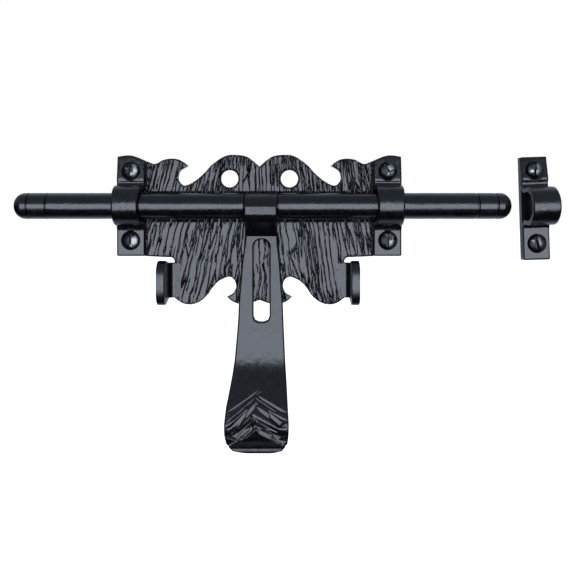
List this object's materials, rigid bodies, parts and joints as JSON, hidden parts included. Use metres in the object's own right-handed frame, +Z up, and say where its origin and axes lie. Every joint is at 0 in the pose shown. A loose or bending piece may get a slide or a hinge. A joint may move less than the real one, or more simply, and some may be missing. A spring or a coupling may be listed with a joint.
{
  "type": "toggle bolt latch",
  "caption": "Surface-mounted slide bolt: a round bar in two guides on a grained back plate, thrown into a keeper by a slotted toggle handle that drops over a lug.",
  "frame": {"origin": "on the plate's back face, behind the bar's axis and midway between the guides", "axes": "+X along the bar towards the keeper, +Y into the door, +Z up; the front faces -Y and the handle hangs along -Z"},
  "size_m": [0.3325, 0.0481, 0.1797],
  "materials": {
    "plate_iron": "satin black paint over a wood-grain relief, worn a little on the ridges",
    "guide_iron": "smooth satin black paint",
    "bar_iron": "smooth satin black paint with faint drawing marks along the bar",
    "handle_iron": "satin black paint over hammered iron",
    "keeper_iron": "satin black paint over a cast surface",
    "screw_steel": "worn, dull steel with dark slots"
  },
  "bodies": {
    "root": {"back_plate": "plate_iron", "left_guide_staple": "guide_iron", "right_guide_staple": "guide_iron", "keeper": "keeper_iron", "guide_screw_1": "screw_steel", "guide_screw_2": "screw_steel", "guide_screw_3": "screw_steel", "guide_screw_4": "screw_steel", "keeper_screw_1": "screw_steel", "keeper_screw_2": "screw_steel"},
    "bolt": {"bolt_bar": "bar_iron"},
    "handle": {"toggle_handle": "handle_iron"}
  },
  "joints": [
    {"name": "bolt_slide", "type": "slide", "parent": "root", "child": "bolt", "axis": [1, 0, 0], "range_m": [-0.06, 0.057]},
    {"name": "handle_lift", "type": "hinge", "parent": "bolt", "child": "handle", "pos_m": [0.0015, -0.013, 0], "axis": [-1, 0, 0], "range_deg": [0, 140]}
  ]
}
